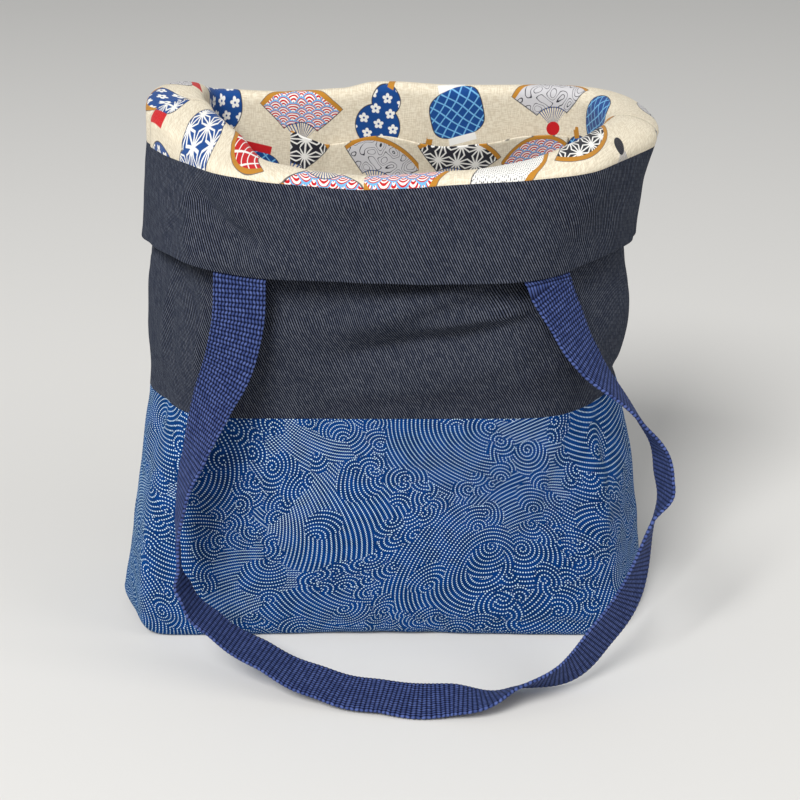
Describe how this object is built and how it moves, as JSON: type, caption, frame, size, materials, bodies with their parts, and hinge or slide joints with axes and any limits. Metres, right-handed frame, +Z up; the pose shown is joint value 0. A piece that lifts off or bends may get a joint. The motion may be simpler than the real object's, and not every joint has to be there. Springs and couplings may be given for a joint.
{
  "type": "tote bag",
  "caption": "fold-over tote bag standing open, with a printed lower panel, plain upper, rolled lined rim, slip pocket and webbing handles",
  "frame": {"origin": "middle of the bag's base, on the surface it stands on", "axes": "+X to the right as seen from the front, +Y to the back, +Z up"},
  "size_m": [0.2799, 0.2453, 0.2744],
  "materials": {
    "printed_cotton": "printed plain-weave cotton, mid blue with fine white dotted lines",
    "navy_twill": "matt dark navy cotton twill",
    "printed_lining": "printed plain-weave cotton, cream ground with blue, black, red and ochre motifs",
    "navy_webbing": "ribbed woven cotton webbing, navy blue"
  },
  "bodies": {
    "root": {"lower_panel": "printed_cotton", "upper_front": "navy_twill", "upper_back": "navy_twill", "facing_front": "navy_twill", "facing_back": "navy_twill", "lining_front": "printed_lining", "lining_back": "printed_lining", "pocket": "printed_lining", "strap_front": "navy_webbing", "strap_back": "navy_webbing"}
  },
  "joints": []
}
